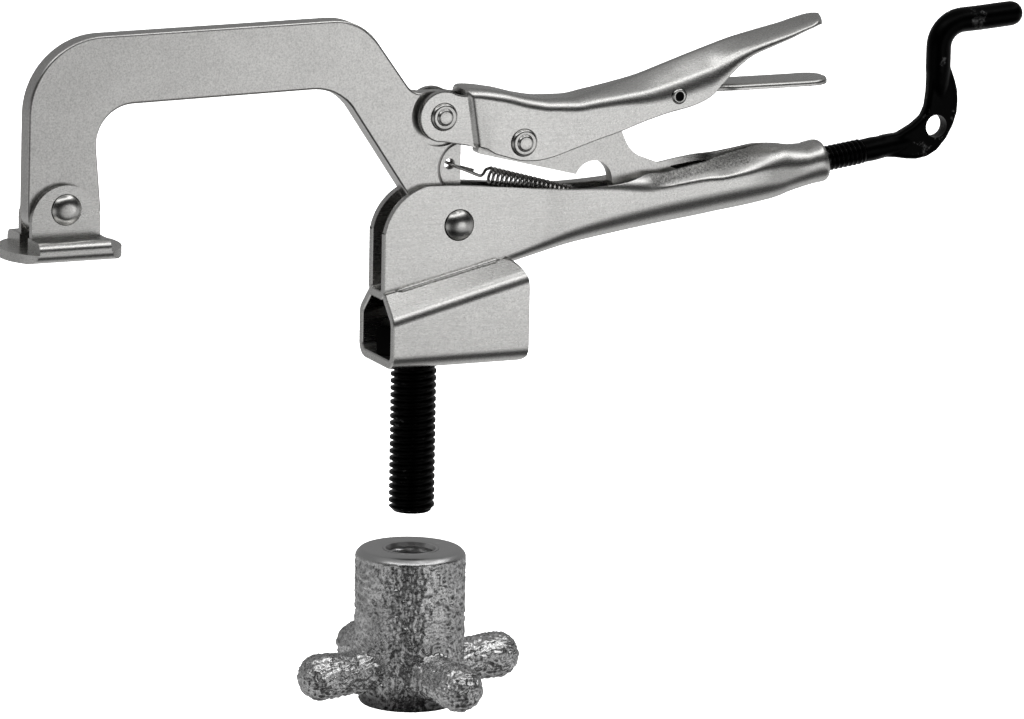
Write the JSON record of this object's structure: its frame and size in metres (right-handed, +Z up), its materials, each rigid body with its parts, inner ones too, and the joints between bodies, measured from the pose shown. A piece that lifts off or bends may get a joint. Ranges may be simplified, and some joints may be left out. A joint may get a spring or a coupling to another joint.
{
  "type": "locking c clamp",
  "caption": "Locking C clamp with a toggle handle, swivel pad and crank screw, on a boxed base with a bolt and cast hand nut for a drill-press table.",
  "frame": {"origin": "centre of the base's flat underside, on the mounting bolt's axis", "axes": "+Z up along the bolt, +X along the handles towards the crank, the linkage lies in the XZ plane"},
  "size_m": [0.3025, 0.068, 0.1911],
  "materials": {
    "zinc_plate": "satin zinc plate on pressed sheet steel",
    "rivet_steel": "bright plated, lightly polished",
    "weld": "plated weld bead, rippled",
    "black_oxide": "black oxide, oiled, semi-gloss",
    "cast_nut": "rough sand cast, dark zinc plated",
    "spring_steel": "drawn wire"
  },
  "bodies": {
    "frame": {"fixed_handle": "zinc_plate", "base_channel": "zinc_plate", "weld_bead_front": "weld", "weld_bead_back": "weld", "mounting_bolt": "black_oxide", "main_pivot_rivet": "rivet_steel", "spring_anchor": "zinc_plate", "return_spring": "spring_steel"},
    "jaw_arm": {"jaw_arm": "zinc_plate"},
    "upper_handle": {"upper_handle": "zinc_plate", "arm_handle_rivet": "rivet_steel", "handle_link_rivet": "rivet_steel", "release_lever_pin": "rivet_steel"},
    "toggle_link": {"toggle_link": "zinc_plate"},
    "release_lever": {"release_lever": "zinc_plate"},
    "swivel_pad": {"swivel_pad": "zinc_plate", "pad_rivet": "rivet_steel"},
    "adjusting_screw": {"adjusting_screw": "black_oxide"},
    "hand_nut": {"hand_nut": "cast_nut"}
  },
  "joints": [
    {"name": "arm_swing", "type": "hinge", "parent": "frame", "child": "jaw_arm", "pos_m": [0.01034, 0, 0.03783], "axis": [0, 1, 0], "range_deg": [0, 25], "deforming": ["return_spring"]},
    {"name": "handle_swing", "type": "hinge", "parent": "jaw_arm", "child": "upper_handle", "pos_m": [0.00553, 0, 0.0677], "axis": [0, -1, 0], "range_deg": [0, 74.6]},
    {"name": "link_swing", "type": "hinge", "parent": "upper_handle", "child": "toggle_link", "pos_m": [0.02852, 0, 0.05968], "axis": [0, 1, 0], "range_deg": [0, 73.4]},
    {"name": "lever_squeeze", "type": "hinge", "parent": "upper_handle", "child": "release_lever", "pos_m": [0.07456, 0, 0.07003], "axis": [0, -1, 0], "range_deg": [0, 7]},
    {"name": "pad_swivel", "type": "hinge", "parent": "jaw_arm", "child": "swivel_pad", "pos_m": [-0.1026, 0, 0.04867], "axis": [0, 1, 0], "range_deg": [-20, 20]},
    {"name": "screw_turn", "type": "hinge", "parent": "frame", "child": "adjusting_screw", "pos_m": [0.0853, 0, 0.04356], "axis": [0.9907, 0, 0.1357], "continuous": true},
    {"name": "nut_travel", "type": "slide", "parent": "frame", "child": "hand_nut", "axis": [0, 0, 1], "range_m": [-0.045, 0.0508]}
  ],
  "couplings": [
    {"joint": "handle_swing", "follows": "arm_swing", "ratio": 2.9781},
    {"joint": "link_swing", "follows": "arm_swing", "ratio": 2.9276}
  ]
}
